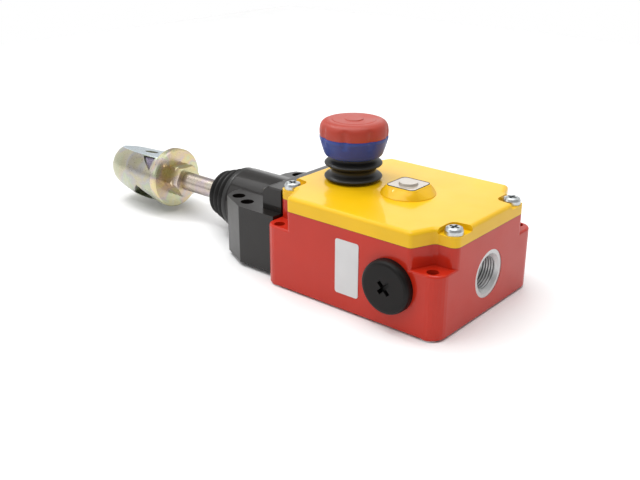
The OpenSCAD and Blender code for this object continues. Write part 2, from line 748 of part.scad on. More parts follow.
module lock_nut() color("#c9bd83") axis_nut(lock_x0, jam_x0, nut_af, rod_d + 2 * run_c);

module clamp_flange() {
    r = clamp_flange_d / 2;
    edge = 0.8;
    color("#c9bd83") difference() {
        axis_turn([[flange_x0, 0], [flange_x0, r - edge], [flange_x0 + edge, r], [lock_x0 - edge, r],
            [lock_x0, r - edge], [lock_x0, 0]]);
        axis_bar(flange_x0 - 1, lock_x0 + 1, rod_d + 2 * run_c);
    }
}

nose_face_r = 11;
nose_r = 5;
nose_taper_l = 15.4;
nose_wall = 6;
nose_side_r = clamp_d / 2 - 2.3;
chamber_l = 20;
cone_lip = 1.5;
flat_hole_x = -22.6;

module clamp_body() {
    r = clamp_d / 2;
    shoulder_x = clamp_x0 + nose_taper_l;
    nose = rounded([[clamp_x0, 0, 0.01], [clamp_x0, nose_side_r, nose_r], [shoulder_x, r, 12],
        [flange_x0, r, 0.4], [flange_x0, 0, 0.01]]);
    color("#c4c3a4") difference() {
        axis_turn(nose);
        // inner chamber, conical towards the nose
        axis_turn([[flange_x0 + 1, 0], [flange_x0 + 1, clamp_bore_d / 2],
            [flange_x0 - chamber_l, clamp_bore_d / 2],
            [clamp_x0 + nose_wall, rope_hole_d / 2 + cone_lip], [clamp_x0 + nose_wall, 0]]);
        axis_bar(clamp_x0 - 1, clamp_x0 + nose_wall + 1, rope_hole_d);
        turned_clamp() {
            // milled flat with its hole
            translate([-clamp_l - 1, -r, clamp_flat]) cube([clamp_l + 2, 2 * r, r]);
            translate([flat_hole_x, 0, 0]) cylinder(d = flat_hole_d, h = r);
            // rope windows in both flanks: a high and a low triangle
            for (s = [0, 1]) mirror([0, s, 0]) {
                clamp_window([[-13.4, 11.3], [-2.2, 11.9], [-2, 3]]);
                clamp_window([[-22.9, -15.4], [-15.6, -8.9], [-4.5, -14.4], [-8, -20]]);
            }
        }
    }
}

// Children drawn from the clamp's open end and its axis, turned with the clamp
module turned_clamp() translate([flange_x0, 0, axis_z]) rotate([-clamp_turn, 0, 0]) children();

// Triangular prism cut inwards from the -Y flank
module clamp_window(points) rotate([90, 0, 0]) linear_extrude(clamp_d) polygon(points);

module clamp_jaws() {
    nose_gap = 3;
    jaw_x0 = clamp_x0 + nose_wall + nose_gap;
    jaw_x1 = rod_x0 - air;
    gap = 0.8;
    cone_x1 = flange_x0 - chamber_l;
    cone_x0 = clamp_x0 + nose_wall;
    rise = (clamp_bore_d / 2 - rope_hole_d / 2 - cone_lip) / (cone_x1 - cone_x0);
    color("#8f8f88") difference() {
        axis_turn([[jaw_x0, 0], [jaw_x0, rope_hole_d / 2 + cone_lip + rise * (jaw_x0 - cone_x0) - air],
            [cone_x1, clamp_bore_d / 2 - air], [jaw_x1, clamp_bore_d / 2 - air], [jaw_x1, 0]]);
        axis_bar(jaw_x0 - 1, jaw_x1 + 1, rope_hole_d + 2 * fit_c);
        turned_clamp() translate([jaw_x0 - flange_x0 - 1, -gap / 2, -clamp_d / 2])
            cube([jaw_x1 - jaw_x0 + 2, gap, clamp_d]);
    }
}

// ---- stop button ----

stem_z0 = pivot_z + 1.8;
stem_top = cap_z1 - 4;
bush_collar_z = cover_top + 4.5;
bush_flange_r = 11.5;
bush_floor_z = cover_top - 2.3;
spring_top = cap_z0 - 2.5;
spring_room_r = 7.2;
hub_r = 7.4;
bush_nut_t = 4.6;
bush_nut_af = 22;

module knob_cap() {
    groove_r = knob_r - 5.85;
    crown_r = 5.4;
    color("crimson") difference() {
        knob_turn([[0, spring_top], [hub_r, spring_top], [hub_r, cap_z0], [knob_r - 0.25, cap_z0],
            [knob_r, cap_z0 + 2], [knob_r - 0.3, cap_z1 - 5], [knob_r - 1, cap_z1 - 3.2],
            [knob_r - 2.3, cap_z1 - 1.7], [knob_r - 4.4, cap_z1 - 0.6],
            [groove_r + 0.5, cap_z1], [groove_r, cap_z1 - 0.3], [groove_r - 0.6, cap_z1],
            [crown_r, cap_z1 + 0.1], [crown_r - 0.4, cap_z1 + 0.4], [0, cap_z1 + 0.4]]);
        on_knob() translate([0, 0, spring_top - 1])
            cylinder(d = stem_d + 2 * run_c, h = stem_top + run_c - spring_top + 1);
        grip_flutes(cap_z0 - 1, cap_z1 - 2.5);
    }
}

// Shallow grip hollows round the button
module grip_flutes(z0, z1) {
    flute_r = 9;
    bite = 0.45;
    on_knob() for (k = [0 : flutes - 1]) rotate([0, 0, 360 * (k + 0.5) / flutes])
        translate([knob_r + flute_r - bite, 0, z0]) cylinder(r = flute_r, h = z1 - z0);
}

module reset_ring() color("royalblue") difference() {
    knob_turn([[hub_r + air, ring_z0], [knob_r - 4.8, ring_z0], [knob_r - 3.3, ring_z0 + 0.7],
        [knob_r - 2.6, ring_z0 + 2.4], [knob_r - 0.8, cap_z0 - 3.4], [knob_r - 0.1, cap_z0 - 1.6],
        [knob_r - 0.1, cap_z0], [hub_r + air, cap_z0]]);
    grip_flutes(cap_z0 - 4, cap_z0 + 1);
}

module knob_stem() {
    collar_z1 = bush_z0 - air;
    color("silver") knob_turn([
        [0, stem_z0], [1, stem_z0 + 0.1], [2.5, stem_z0 + 0.6], [stem_d / 2, stem_z0 + 1.8],
        [stem_d / 2, collar_z1 - 1.4], [stem_d / 2 + 1.6, collar_z1 - 1.4], [stem_d / 2 + 1.6, collar_z1],
        [stem_d / 2, collar_z1], [stem_d / 2, stem_top], [0, stem_top]]);
}

detent_z = bush_z0 + 3;
detent_t = 1.2;
detent_r = 5.6;

module knob_bush() color("darkgray") knob_turn([
    [stem_d / 2 + run_c, bush_z0], [knob_bush_d / 2, bush_z0], [knob_bush_d / 2, cover_top],
    [bush_flange_r, cover_top], [bush_flange_r, cover_top + 1.6], [knob_bush_d / 2, cover_top + 1.6],
    [knob_bush_d / 2, bush_collar_z], [spring_room_r, bush_collar_z], [spring_room_r, bush_floor_z],
    [stem_d / 2 + run_c, bush_floor_z], [stem_d / 2 + run_c, detent_z + detent_t],
    [detent_r, detent_z + detent_t],
    [detent_r, detent_z], [stem_d / 2 + run_c, detent_z]]);

module detent_ring() color("dimgray") on_knob() translate([0, 0, detent_z]) difference() {
    cylinder(r = detent_r - run_c, h = detent_t);
    translate([0, 0, -1]) cylinder(r = stem_d / 2 + run_c, h = detent_t + 2);
    translate([0, -0.8, -1]) cube([detent_r, 1.6, detent_t + 2]);
}

module bush_nut() color("silver") on_knob() translate([0, 0, cover_top - cover_t - bush_nut_t]) difference() {
    cylinder(d = bush_nut_af / cos(30), h = bush_nut_t, $fn = 6);
    translate([0, 0, -1]) cylinder(d = knob_bush_d + 2 * run_c, h = bush_nut_t + 2);
}

module knob_spring() color("silver") on_knob() translate([0, 0, bush_floor_z])
    coil(stem_d / 2 + knob_wire / 2 + 0.9, knob_wire, spring_top - bush_floor_z, 8);

// Button bellows: two sharp folds between the cover and the blue ring
lip_r = 12.6;
crest_z = cover_top + 2.1;
crest_pitch = 7.4;
function crest_r(z) = lip_r + (knob_bellows_d / 2 - lip_r)
    * pow((1 + cos(360 * (z - crest_z) / crest_pitch)) / 2, 1.8);

module knob_bellows() {
    steps = 30;
    zs = [for (k = [0 : steps]) cover_top + (ring_z0 - cover_top) * k / steps];
    color("#1c1c1e") knob_turn(concat(
        [for (z = zs) [crest_r(z), z]],
        [for (k = [steps : -1 : 0]) [max(crest_r(zs[k]) - rubber_t, bush_flange_r + air * 0.5), zs[k]]]));
}

// ---- trip lever and contacts ----

pivot_x = knob_x + 17.3;
lever_t = 3;
lever_hub_r = 3.2;
lever_half = 11;
lever_pin_d = 3;
stop_plunger_x = knob_x + 6.9;
stop_plunger_y = block_y0 + 3;
stop_plunger_d = 4;
stop_plunger_l = 12;
stop_plunger_top = pivot_z - lever_t / 2 - 0.2;
stop_travel = (pivot_x - stop_plunger_x) * tan(lever_swing) + 0.02;
stop_room_z0 = stop_plunger_top - stop_plunger_d / 2 - stop_plunger_l - stop_travel - 0.5;
ear_t = 3.5;
ear_r = 4;

// Bar along Y through the lever pivot, reaching back from y1
module pivot_bar(y1, l, d) translate([pivot_x, y1, pivot_z]) rotate([90, 0, 0]) cylinder(d = d, h = l);

// One edge of the lever, from its tip under the button stem over the arm to the pivot
tip_half_w = 5;
tip_reach = 3.7;
arm_back = 2.6;
arm_front = 2.4;
arm_x0 = stop_plunger_x - arm_back;
arm_x1 = stop_plunger_x + arm_front;
arm_y = stop_plunger_y + stop_plunger_d / 2;
lever_edge = [
    [knob_x - tip_reach, tip_half_w, 2], [arm_x0, tip_half_w, 0.5], [arm_x0, arm_y, 1],
    [arm_x1, arm_y, 1], [arm_x1, tip_half_w, 1], [pivot_x, lever_half, 1]];

module trip_lever() color("silver") difference() {
    union() {
        translate([0, 0, pivot_z - lever_t / 2]) linear_extrude(lever_t)
            polygon(rounded(concat(lever_edge, turned_back(flip(lever_edge, 1, -1)))));
        pivot_bar(lever_half, 2 * lever_half, 2 * lever_hub_r);
    }
    pivot_bar(side_y, housing_w, lever_pin_d + 2 * run_c);
}

module lever_pin() color("dimgray")
    pivot_bar(block_y0 + ear_t, 2 * (block_y0 + ear_t), lever_pin_d);

terminal_z = block_z1 - 5;
terminal_y = block_y0 + block_w - 5;
terminal_xs = [for (k = [0 : 3]) block_x0 + block_l * (2 * k + 1) / 8];
terminal_d = 3;

// Contact block on the +Y side; side -1 mirrors it
module contact_block(side) {
    bay_w = block_l / 4 - 1.4;
    color("#3a3f46") mirror([0, side < 0 ? 1 : 0, 0]) difference() {
        union() {
            translate([block_x0, block_y0, block_z0]) cube([block_l, block_w, block_z1 - block_z0]);
            translate([pivot_x - ear_r, block_y0, block_z1 - 1])
                cube([2 * ear_r, ear_t, pivot_z - block_z1 + 1]);
            pivot_bar(block_y0 + ear_t, ear_t, 2 * ear_r);
        }
        pivot_bar(side_y, side_y, lever_pin_d + 2 * run_c);
        translate([cam_plunger_x, 0, axis_z]) rotate([-90, 0, 0])
            cylinder(d = plunger_d + 2 * run_c, h = block_y0 + 12);
        translate([stop_plunger_x, stop_plunger_y, stop_room_z0])
            cylinder(d = stop_plunger_d + 2 * run_c, h = block_z1);
        for (x = [block_x0 + 3, block_x0 + block_l - 3]) translate([x, block_screw_y, 0])
            cylinder(d = block_screw_d + 2 * fit_c, h = block_z1 + 1);
        for (x = terminal_xs) {
            translate([x - bay_w / 2, block_y0 + block_w - 9, terminal_z]) cube([bay_w, 10, block_z1]);
            translate([x, terminal_y, terminal_z - 6]) cylinder(d = terminal_d + 2 * run_c, h = block_z1);
        }
    }
}

module contact_block_near() contact_block(-1);
module contact_block_far() contact_block(1);

// Pin with a round nose that rests on the cam ramp
module cam_plunger(side) {
    nose_y = cam_half_w + (plunger_d / 2 + 0.1) * sqrt(1 + cam_slope * cam_slope);
    color("white") mirror([0, side < 0 ? 1 : 0, 0]) translate([cam_plunger_x, nose_y, axis_z]) {
        sphere(d = plunger_d);
        rotate([-90, 0, 0]) cylinder(d = plunger_d, h = 12);
    }
}

module cam_plunger_near() cam_plunger(-1);
module cam_plunger_far() cam_plunger(1);

module stop_plungers() color("white") for (s = [-1, 1])
    translate([stop_plunger_x, s * stop_plunger_y, stop_plunger_top - stop_plunger_d / 2]) {
        sphere(d = stop_plunger_d);
        translate([0, 0, -stop_plunger_l]) cylinder(d = stop_plunger_d, h = stop_plunger_l);
    }

// Inner screws: head diameter, head height and threaded length
block_head = [5.6, 2, 5];
terminal_head = [5.4, 1.8, 5];
earth_head = [8, 2.4, 6];

module block_screws() color("silver") at_block_screws() translate([0, 0, block_z1])
    pan_screw(block_head[0], block_head[1], block_screw_d, block_z1 - block_z0 + block_head[2]);

module terminal_screws() color("silver") for (s = [-1, 1], x = terminal_xs)
    translate([x, s * terminal_y, terminal_z])
        pan_screw(terminal_head[0], terminal_head[1], terminal_d, terminal_head[2]);

module earth_screw() color("gold") translate([earth_at[0], earth_at[1], earth_z])
    pan_screw(earth_head[0], earth_head[1], earth_d, earth_head[2]);

housing();
cover();
cover_gasket();
cover_screws();
window_lens();
lens_seal();
blanking_plugs();
plug_seals();
label_plate();
head_body();
head_seal();
head_screws();
guide_bush();
inner_bush();
rod_bellows();
pull_rod();
return_spring();
spring_plate();
spring_clip();
cam_slide();
cam_nut();
indicator_flag();
lock_nut();
jam_nut();
clamp_flange();
clamp_body();
clamp_jaws();
knob_cap();
reset_ring();
knob_stem();
knob_bush();
bush_nut();
knob_spring();
knob_bellows();
detent_ring();
trip_lever();
lever_pin();
contact_block_near();
contact_block_far();
cam_plunger_near();
cam_plunger_far();
stop_plungers();
block_screws();
terminal_screws();
earth_screw();
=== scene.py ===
"""Rope pull switch: a red cast box with a yellow cover, a stop button, and a sprung rod with a rope clamp."""
import math

import bmesh
import bpy
import numpy as np
from mathutils import Matrix, Vector


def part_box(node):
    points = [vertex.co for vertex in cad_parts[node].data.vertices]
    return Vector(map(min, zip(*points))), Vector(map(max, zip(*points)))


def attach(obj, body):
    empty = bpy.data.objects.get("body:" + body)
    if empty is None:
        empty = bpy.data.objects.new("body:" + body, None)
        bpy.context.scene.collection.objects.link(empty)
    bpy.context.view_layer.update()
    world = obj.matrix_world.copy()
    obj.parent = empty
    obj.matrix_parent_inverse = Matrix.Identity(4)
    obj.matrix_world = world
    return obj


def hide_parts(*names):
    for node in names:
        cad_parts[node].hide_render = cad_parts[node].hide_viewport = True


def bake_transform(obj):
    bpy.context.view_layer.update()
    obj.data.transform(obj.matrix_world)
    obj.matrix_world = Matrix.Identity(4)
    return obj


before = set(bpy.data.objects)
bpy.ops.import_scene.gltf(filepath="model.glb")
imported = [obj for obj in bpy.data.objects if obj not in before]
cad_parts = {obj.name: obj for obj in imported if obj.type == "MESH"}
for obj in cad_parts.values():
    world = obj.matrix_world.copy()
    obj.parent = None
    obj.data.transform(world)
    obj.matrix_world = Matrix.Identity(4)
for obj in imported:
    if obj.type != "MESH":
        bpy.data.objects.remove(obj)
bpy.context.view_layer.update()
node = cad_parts
mm = 0.001

# ---------------------------------------------------------------------------------------------
# Room: the switch lies on a pale table in soft light from above and the left. A bright sheet behind
# it ends at the left and the rest of the room is darker, but the camera sees plain white all round.
camera = bpy.data.objects.new("camera", bpy.data.cameras.new("camera"))
bpy.context.collection.objects.link(camera)
camera.data.lens, camera.data.sensor_width, camera.data.clip_start = 49.03, 36.0, 0.01
right, up, back = (0.7643, 0.6449, 0.0021), (-0.2449, 0.2873, 0.9260), (0.5966, -0.7082, 0.3775)
stand = Matrix(list(zip(right, up, back))).to_4x4()
stand.translation = (0.24881, -0.36076, 0.20302)
camera.matrix_world = stand
bpy.context.scene.camera = camera
bpy.context.scene.view_settings.view_transform = "Standard"


def hang_lamp(name, kind, at, facing, **settings):
    """A soft lamp at one point, facing another; the settings are its light's own."""
    made = bpy.data.objects.new(name, bpy.data.lights.new(name, kind))
    for key, value in settings.items():
        setattr(made.data, key, value)
    bpy.context.collection.objects.link(made)
    aim = (Vector(at) - Vector(facing)).to_track_quat("Z", "Y").to_matrix().to_4x4()
    made.matrix_world = Matrix.Translation(at) @ aim


hang_lamp("overhead_lamp", "AREA", (-0.05, -0.1, 0.9), (-0.05, 0, 0), size=0.9, energy=3.5)
hang_lamp("left_lamp", "AREA", (-0.75, -0.8, 0.55), (-0.05, 0, 0.03), size=0.7, energy=1.6)
hang_lamp("spark_lamp", "AREA", (-0.5, -0.05, 0.65), (0, 0, 0.05), size=0.12, energy=1.0)
hang_lamp("sky_lamp", "SUN", (-0.2, -0.15, 1.0), (0, 0, 0), angle=math.radians(70), energy=1.5)


def add(tree, kind, **settings):
    """Shader node; capitalised settings go to sockets of that name, the others to the node itself."""
    made = tree.nodes.new("ShaderNode" + kind)
    for key, value in settings.items():
        if not key[0].isupper():
            setattr(made, key, value)
        elif hasattr(value, "is_output"):
            tree.links.new(value, made.inputs[key.replace("_", " ")])
        else:
            made.inputs[key.replace("_", " ")].default_value = value
    return made


def maths(tree, operation, first, second):
    """One step of arithmetic on two values."""
    made = add(tree, "Math", operation=operation)
    for socket, value in zip(made.inputs, (first, second)):
        if hasattr(value, "is_output"):
            tree.links.new(value, socket)
        else:
            socket.default_value = value
    return made.outputs["Value"]


def towards(tree, where, direction, start, full, weight):
    """Value that rises smoothly from 0 to weight as the point's dot product with a direction goes from start
    to full."""
    dot = add(tree, "VectorMath", operation="DOT_PRODUCT")
    tree.links.new(where, dot.inputs[0])
    dot.inputs[1].default_value = direction
    rise = add(tree, "MapRange", interpolation_type="SMOOTHSTEP", Value=dot.outputs["Value"],
               From_Min=start, From_Max=full, To_Min=0.0, To_Max=weight)
    return rise.outputs["Result"]


world = bpy.data.worlds.new("white_room")
bpy.context.scene.world = world
world.use_nodes = True
tree, backdrop = world.node_tree, world.node_tree.nodes["Background"]
where = add(tree, "TexCoord").outputs["Generated"]
room_light = 0.43
sheet = towards(tree, where, (-0.63, 0.75, 0.17), start=-0.5, full=0.7, weight=0.42)
hot_spot = towards(tree, where, (-0.64, 0.73, 0.24), start=0.95, full=0.99, weight=0.75)
sheet_edge = towards(tree, where, (0.731, 0.682, 0), start=-0.05, full=0.02, weight=1.0)
left_wall = towards(tree, where, (-0.99, 0.1, 0.1), start=0.82, full=0.97, weight=0.6)
behind = maths(tree, "MULTIPLY", maths(tree, "ADD", sheet, hot_spot), sheet_edge)
glow = maths(tree, "ADD", behind, left_wall)
seen = add(tree, "LightPath").outputs["Is Camera Ray"]
light = maths(tree, "MAXIMUM", maths(tree, "ADD", glow, room_light), seen)
tree.links.new(light, backdrop.inputs["Strength"])
backdrop.inputs["Color"].default_value = (1, 1, 1, 1)


def new_material(name, **sockets):
    """A material with one Principled shader whose sockets take the values given."""
    made = bpy.data.materials.new(name)
    made.use_nodes = True
    made.node_tree.nodes.clear()
    shader = add(made.node_tree, "BsdfPrincipled", **sockets)
    out = add(made.node_tree, "OutputMaterial")
    made.node_tree.links.new(shader.outputs["BSDF"], out.inputs["Surface"])
    return made, made.node_tree, shader


def noise(tree, scale, detail, **more):
    """Noise that stands still in the object, as a value."""
    where = add(tree, "TexCoord").outputs["Object"]
    return add(tree, "TexNoise", Vector=where, Scale=scale, Detail=detail, **more).outputs["Fac"]


def span(tree, value, low, high, start=0.0, full=1.0):
    """The value stretched so that start becomes low and full becomes high, and held beyond them."""
    made = add(tree, "MapRange", Value=value, From_Min=start, From_Max=full, To_Min=low, To_Max=high)
    return made.outputs["Result"]


def surface(name, points, *materials, smooth=True):
    """Mesh object from an array of points [u, v, xyz]; points that meet are merged: seams and poles close."""
    rows, columns = points.shape[:2]
    first = (np.arange(rows - 1)[:, None] * columns + np.arange(columns - 1)).reshape(-1, 1)
    mesh = bpy.data.meshes.new(name)
    mesh.from_pydata(points.reshape(-1, 3).tolist(), [], (first + [0, columns, columns + 1, 1]).tolist())
    shell = bmesh.new()
    shell.from_mesh(mesh)
    bmesh.ops.remove_doubles(shell, verts=shell.verts, dist=1e-7)
    bmesh.ops.recalc_face_normals(shell, faces=shell.faces)
    shell.to_mesh(mesh)
    shell.free()
    mesh.polygons.foreach_set("use_smooth", np.full(len(mesh.polygons), smooth))
    for material in materials:
        mesh.materials.append(material)
    made = bpy.data.objects.new(name, mesh)
    bpy.context.collection.objects.link(made)
    return made


white_table, tree, shader = new_material("white_table", Roughness=0.6)
tree.links.new(span(tree, noise(tree, 30.0, 2.0), 0.86, 0.9), shader.inputs["Base Color"])
half_side, below = 0.85, 0.4 * mm
x, y = np.meshgrid((-half_side, half_side), (-half_side, half_side), indexing="ij")
table = surface("table", np.stack([x, y, np.full_like(x, -below)], -1), white_table, smooth=False)

# ---------------------------------------------------------------------------------------------
# Housing: a pressure die-cast aluminium box in thick red enamel. The enamel flows a little before
# it is baked, and the seats round the cable entries and the mounting pads are machined bare.
def mixed(tree, share, first, second, way="MIX"):
    """Two colours mixed, or multiplied, by a share."""
    return add(tree, "MixRGB", blend_type=way, Fac=share, Color1=first, Color2=second).outputs["Color"]


def effect_group(name, **inputs):
    """Empty group of shader nodes with the inputs given, which will put out a colour, a roughness and a
    normal."""
    group = bpy.data.node_groups.new(name, "ShaderNodeTree")
    for key, kind in inputs.items():
        group.interface.new_socket(key, in_out="INPUT", socket_type="NodeSocket" + kind)
    for key, kind in (("Color", "Color"), ("Roughness", "Float"), ("Normal", "Vector")):
        group.interface.new_socket(key, in_out="OUTPUT", socket_type="NodeSocket" + kind)
    return group, group.nodes.new("NodeGroupInput").outputs


def close_group(group, *results):
    """Joins the three results to the group's outputs."""
    for result, socket in zip(results, group.nodes.new("NodeGroupOutput").inputs):
        group.links.new(result, socket)


def dress(tree, shader, group, **values):
    """Places an effect group with its own values and joins it to the shader."""
    skin = add(tree, "Group", node_tree=group, **values)
    for here, there in (("Color", "Base Color"), ("Roughness", "Roughness"), ("Normal", "Normal")):
        tree.links.new(skin.outputs[here], shader.inputs[there])
    return skin


# Enamel skin: long soft waves and fine orange peel in the normal, a faint drift in tone and gloss.
enamel_skin, given = effect_group("enamel_skin", Paint="Color", Gloss="Float", Peel="Float")
drift = span(enamel_skin, noise(enamel_skin, 28.0, 3.0), 0.94, 1.05, 0.3, 0.7)
waves = noise(enamel_skin, 70.0, 2.0)
long_wave = add(enamel_skin, "Bump", Height=waves, Strength=0.12, Distance=0.6 * mm)
peel = add(enamel_skin, "Bump", Height=noise(enamel_skin, 900.0, 2.0), Strength=given["Peel"],
           Distance=0.08 * mm, Normal=long_wave.outputs["Normal"])
close_group(enamel_skin, mixed(enamel_skin, 1.0, given["Paint"], drift, "MULTIPLY"),
            maths(enamel_skin, "ADD", given["Gloss"], span(enamel_skin, waves, -0.03, 0.04, 0.3, 0.7)),
            peel.outputs["Normal"])


def enamel(name, colour, gloss, peel, coat_weight):
    """Enamelled metal: a coloured ground under a clear glossy coat."""
    material, tree, shader = new_material(name, Coat_Weight=coat_weight, Coat_Roughness=0.06,
                                          Specular_IOR_Level=0.15)
    skin = dress(tree, shader, enamel_skin, Paint=(*colour, 1), Gloss=gloss, Peel=peel)
    return material, tree, shader, skin


def coat(material, *names):
    """Gives CAD nodes a material."""
    for name in names:
        for slot in node[name].material_slots:
            slot.material = material


# Red enamel leaves three round entry seats and the foot pads bare. Just below the seam with the cover its
# colour is darkened, a painted shade for the shadow in the joint.
red_coat, seat_r, pad_top, seam_z = 0.45, 12.75 * mm, 0.3 * mm, 45.3 * mm
red_enamel, tree, shader, skin = enamel("red_enamel", (0.475, 0.0185, 0.005), gloss=0.4, peel=0.25,
                                        coat_weight=red_coat)
where = add(tree, "TexCoord").outputs["Object"]
height = add(tree, "SeparateXYZ", Vector=where).outputs["Z"]
bare = span(tree, height, 1.0, 0.0, pad_top - 0.1 * mm, pad_top)
for seat in ((56 * mm, 0, 21.8 * mm), (27.5 * mm, -46 * mm, 23 * mm), (27.5 * mm, 46 * mm, 23 * mm)):
    away = add(tree, "VectorMath", operation="DISTANCE")
    tree.links.new(where, away.inputs[0])
    away.inputs[1].default_value = seat
    near = span(tree, away.outputs["Value"], 1.0, 0.0, seat_r, seat_r + 0.05 * mm)
    bare = maths(tree, "MAXIMUM", bare, near)
metal = span(tree, noise(tree, 1500.0, 1.0), 0.46, 0.62)
both = mixed(tree, bare, skin.outputs["Color"], metal)
# Painted shade: the colour darkens over the last 0.2 mm below the seam, standing in for the shadow in the
# joint with the cover.
joint = span(tree, height, 1.0, 0.25, seam_z - 0.2 * mm, seam_z)
tree.links.new(mixed(tree, 1.0, both, joint, "MULTIPLY"), shader.inputs["Base Color"])
tree.links.new(bare, shader.inputs["Metallic"])
tree.links.new(maths(tree, "SUBTRACT", red_coat, maths(tree, "MULTIPLY", bare, red_coat)),
               shader.inputs["Coat Weight"])
coat(red_enamel, "housing")

# ---------------------------------------------------------------------------------------------
# Entry thread: cut straight into the casting's end, where a cable gland is screwed in. It is bare
# aluminium, and the CAD node has only its plain bore.
def threaded(name, x0, x1, crest, root, back, pitch, centre_z, material):
    """Threaded ring along X: one face is a triangle wave between root and crest that climbs one pitch a turn,
    and the back is a plain cylinder."""
    x, turn = np.linspace(x0, x1, int((x1 - x0) / pitch * 12) + 1), np.linspace(0, 2 * np.pi, 97)
    wave = root + (crest - root) * np.abs(2 * ((x[:, None] / pitch - turn / (2 * np.pi)) % 1) - 1)
    radius = np.vstack([wave, np.full((2, 97), back), wave[:1]])
    along = np.concatenate([x, [x1, x0, x0]])[:, None] + 0 * turn
    points = np.stack([along, radius * np.cos(turn), centre_z + radius * np.sin(turn)], -1) * mm
    return surface(name, points, material)


bare_metal, tree, shader = new_material("bare_metal", Metallic=1.0)
cuts = noise(tree, 900.0, 3.0)
tree.links.new(span(tree, cuts, 0.34, 0.66), shader.inputs["Base Color"])
tree.links.new(span(tree, cuts, 0.32, 0.5), shader.inputs["Roughness"])
thread = threaded("entry_thread", 46.2, 54.1, crest=8.6, root=9.16, back=9.19, pitch=1.5, centre_z=21.8,
                  material=bare_metal)
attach(thread, "base")

# ---------------------------------------------------------------------------------------------
# Cover: die-cast like the box and enamelled yellow. Its four corners step down to the screws, and
# a raised boss carries the window.
yellow_enamel = enamel("yellow_enamel", (0.79, 0.465, 0.003), gloss=0.4, peel=0.25, coat_weight=0.38)[0]
coat(yellow_enamel, "cover")

# ---------------------------------------------------------------------------------------------
# Small zinc-plated steel parts: screws, nuts, the clamp's jaws, the button's stem and the inner
# plates, bright with a faint blue cast.
def mottle(tree, shader, scale, detail, dark, light):
    """Base colour that wanders between two tones with a noise; gives the noise back."""
    cloud = noise(tree, scale, detail)
    tone = add(tree, "ValToRGB", Fac=cloud)
    for stop, colour in zip(tone.color_ramp.elements, (dark, light)):
        stop.color = (*colour, 1)
    tree.links.new(tone.outputs["Color"], shader.inputs["Base Color"])
    return cloud


bright_zinc, tree, shader = new_material("bright_zinc", Metallic=1.0)
cloud = mottle(tree, shader, 600.0, 3.0, (0.4, 0.43, 0.45), (0.68, 0.71, 0.71))
tree.links.new(span(tree, cloud, 0.2, 0.42), shader.inputs["Roughness"])
coat(bright_zinc, "cover_screws", "head_screws", "spring_plate", "cam_nut", "clamp_jaws", "knob_stem",
     "bush_nut", "trip_lever", "block_screws", "terminal_screws")

# ---------------------------------------------------------------------------------------------
# Rubber and moulded plastic: seals, plugs, bellows and the small inner mouldings. The tool's fine
# spark-eroded grain shows in the surface.
moulded_skin, given = effect_group("moulded_skin", Tone="Color", Gloss="Float", Grain="Float", Drift="Float")
patches = noise(moulded_skin, 90.0, 3.0)
drift = span(moulded_skin, patches, 0.8, 1.2, 0.3, 0.7)
grain = add(moulded_skin, "Bump", Height=noise(moulded_skin, 2200.0, 2.0), Strength=given["Grain"],
            Distance=0.04 * mm)
close_group(moulded_skin, mixed(moulded_skin, given["Drift"], given["Tone"], drift, "MULTIPLY"),
            maths(moulded_skin, "ADD", given["Gloss"], span(moulded_skin, patches, -0.05, 0.05, 0.3, 0.7)),
            grain.outputs["Normal"])


def moulding(name, colour, gloss, grain, drift=0.6, shine=0.5):
    """Plastic or rubber with the moulded skin: fine grain and a faint drift in tone and gloss."""
    material, tree, shader = new_material(name, Specular_IOR_Level=shine)
    dress(tree, shader, moulded_skin, Tone=(*colour, 1), Gloss=gloss, Grain=grain, Drift=drift)
    return material


black_rubber = moulding("black_rubber", (0.01, 0.0095, 0.009), gloss=0.42, grain=0.5, shine=0.4)
coat(black_rubber, "cover_gasket", "lens_seal", "plug_seals", "head_seal")
black_plastic = moulding("black_plastic", (0.0045, 0.0038, 0.0035), gloss=0.4, grain=0.5, shine=0.2)
coat(black_plastic, "blanking_plugs", "knob_bush")
cam_plastic = moulding("cam_plastic", (0.75, 0.74, 0.7), gloss=0.45, grain=0.3)
coat(cam_plastic, "cam_slide", "cam_plunger_near", "cam_plunger_far", "stop_plungers")
block_plastic = moulding("block_plastic", (0.05, 0.055, 0.065), gloss=0.5, grain=0.4)
coat(block_plastic, "contact_block_near", "contact_block_far")
coat(moulding("flag_plastic", (0.03, 0.4, 0.08), gloss=0.4, grain=0.3), "indicator_flag")

# ---------------------------------------------------------------------------------------------
# Label: a thin white plastic plate with rounded corners, glued to the long side. It is left blank.
# It is smoother than the mouldings and hardly drifts in tone.
coat(moulding("label_plastic", (0.6, 0.6, 0.6), gloss=0.4, grain=0.2, drift=0.12), "label_plate")

# ---------------------------------------------------------------------------------------------
# Window: a clear moulded square with a raised disc, over a thin seal in the cover's boss. The
# boss's smooth skin rises from a round foot to a square rim, and a dark bead lines the lens.
clear_lens, tree, shader = new_material("clear_lens", Roughness=0.18, IOR=1.49, Transmission_Weight=0.2,
                                        Coat_Weight=0.5, Coat_Roughness=0.15)
mottle(tree, shader, 160.0, 2.0, (0.47, 0.41, 0.34), (0.62, 0.55, 0.46))
coat(clear_lens, "window_lens")


def square_reach(angle, half, corner):
    """Distance from the centre of a square with rounded corners to its edge, at each angle."""
    folded = np.abs((angle + np.pi / 4) % (np.pi / 2) - np.pi / 4)
    flat = half / np.cos(folded)
    inner = (half - corner) * np.sqrt(2)
    turn = np.pi / 4 - folded
    bend = inner * np.cos(turn) + np.sqrt(np.maximum(corner**2 - (inner * np.sin(turn)) ** 2, 0))
    return np.where(flat * np.sin(folded) > half - corner, bend, flat)


def ringed(name, x, angle, reach, height, material):
    """Skin round an upright axis at x; each row is a ring, given by its reach and height at every angle."""
    points = np.stack([x + reach * np.cos(angle), reach * np.sin(angle), height + 0 * angle], -1)
    return surface(name, points * mm, material)


